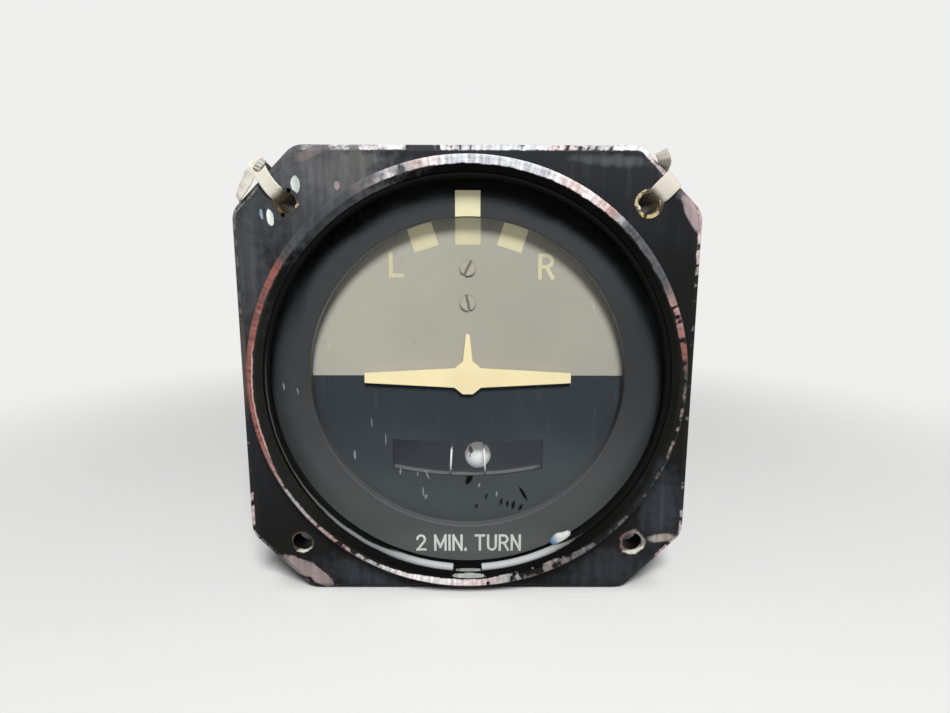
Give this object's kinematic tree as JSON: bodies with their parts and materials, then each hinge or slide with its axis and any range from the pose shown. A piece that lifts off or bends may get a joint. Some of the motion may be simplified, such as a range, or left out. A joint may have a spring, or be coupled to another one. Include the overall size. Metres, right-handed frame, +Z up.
{
  "type": "aircraft turn and slip indicator",
  "caption": "Black flanged panel instrument with a tilting grey horizon disc, a cream miniature aircraft, a ball inclinometer and an electric rate gyro in a round case.",
  "frame": {"origin": "centre of the four mounting holes, on the flange's front face", "axes": "X to the right as seen from the front, +Y from the front into the case, Z up"},
  "size_m": [0.0826, 0.1185, 0.0826],
  "materials": {
    "black_paint": "worn satin black paint",
    "nut_brass": "dull",
    "lacing_tape": "waxed flat tape",
    "snap_steel": "dull",
    "clear_glass": "clear",
    "mask_paint": "matt dark grey",
    "seal_rubber": "matt",
    "dial_paint": "matt grey and dark grey, cream marks",
    "screw_steel": "dull",
    "cream_paint": "matt",
    "frame_aluminium": "machined",
    "black_aluminium": "black anodised",
    "bright_steel": "ground",
    "ball_white": "gloss",
    "white_wire": "matt",
    "board_brown": "laminate",
    "rotor_brass": "turned",
    "copper": "turned",
    "carbon": "matt",
    "magnet_iron": "ground",
    "socket_metal": "passivated",
    "insert_plastic": "moulded",
    "pin_gold": "plated"
  },
  "bodies": {
    "case": {"front_bezel": "black_paint", "mounting_nuts": "nut_brass", "left_tie": "lacing_tape", "right_tie": "lacing_tape", "snap_ring": "snap_steel", "cover_glass": "clear_glass", "dial_mask": "mask_paint", "mask_gasket": "seal_rubber", "aircraft_symbol": "cream_paint", "symbol_post": "bright_steel", "inclinometer_tube": "clear_glass", "tube_plugs": "seal_rubber", "tube_index_wires": "white_wire", "tube_cradle": "black_aluminium", "tube_clips": "mask_paint", "front_plate": "black_aluminium", "front_plate_screws": "bright_steel", "frame_pillars": "frame_aluminium", "rear_plate": "frame_aluminium", "rear_plate_screws": "bright_steel", "gimbal_bearings": "bright_steel", "centring_spring": "bright_steel", "spring_post": "bright_steel", "dashpot_cylinder": "rotor_brass", "terminal_board": "board_brown", "board_standoffs": "frame_aluminium", "terminal_screws": "rotor_brass", "noise_capacitor": "frame_aluminium", "capacitor_clip": "bright_steel", "case_can": "black_paint", "case_screws": "screw_steel", "cover_gasket": "seal_rubber", "rear_cover": "black_paint", "cover_screws": "screw_steel", "receptacle_shell": "socket_metal", "receptacle_insert": "insert_plastic", "receptacle_pins": "pin_gold", "receptacle_screws": "screw_steel"},
    "gimbal": {"gimbal_frame": "frame_aluminium", "gimbal_pivots": "bright_steel", "disc_arm": "frame_aluminium", "turn_disc": "dial_paint", "disc_screws": "screw_steel", "rotor_bearings": "bright_steel", "bearing_caps": "frame_aluminium", "field_magnet": "magnet_iron", "brush_plate": "board_brown", "brush_holders": "rotor_brass", "brushes": "carbon"},
    "rotor": {"gyro_rotor": "rotor_brass", "rotor_shaft": "bright_steel", "commutator": "copper"},
    "ball": {"slip_ball": "ball_white"},
    "piston": {"dashpot_piston": "bright_steel"}
  },
  "joints": [
    {"name": "gimbal_tilt", "type": "hinge", "parent": "case", "child": "gimbal", "pos_m": [0, 0.0483, 0], "axis": [0, -1, 0], "range_deg": [-24, 24], "stiffness_Nm_per_rad": 0.06, "deforming": ["centring_spring"]},
    {"name": "rotor_spin", "type": "hinge", "parent": "gimbal", "child": "rotor", "pos_m": [0, 0.0483, 0], "axis": [1, 0, 0], "continuous": true},
    {"name": "ball_slip", "type": "hinge", "parent": "case", "child": "ball", "pos_m": [0, 0.0099, 0.0425], "axis": [0, -1, 0], "range_deg": [-15, 11.2]},
    {"name": "dashpot_stroke", "type": "slide", "parent": "case", "child": "piston", "axis": [0, 0, 1], "range_m": [-0.0042, 0.0042]}
  ],
  "couplings": [
    {"joint": "dashpot_stroke", "follows": "gimbal_tilt", "m_per_rad": 0.00985}
  ]
}
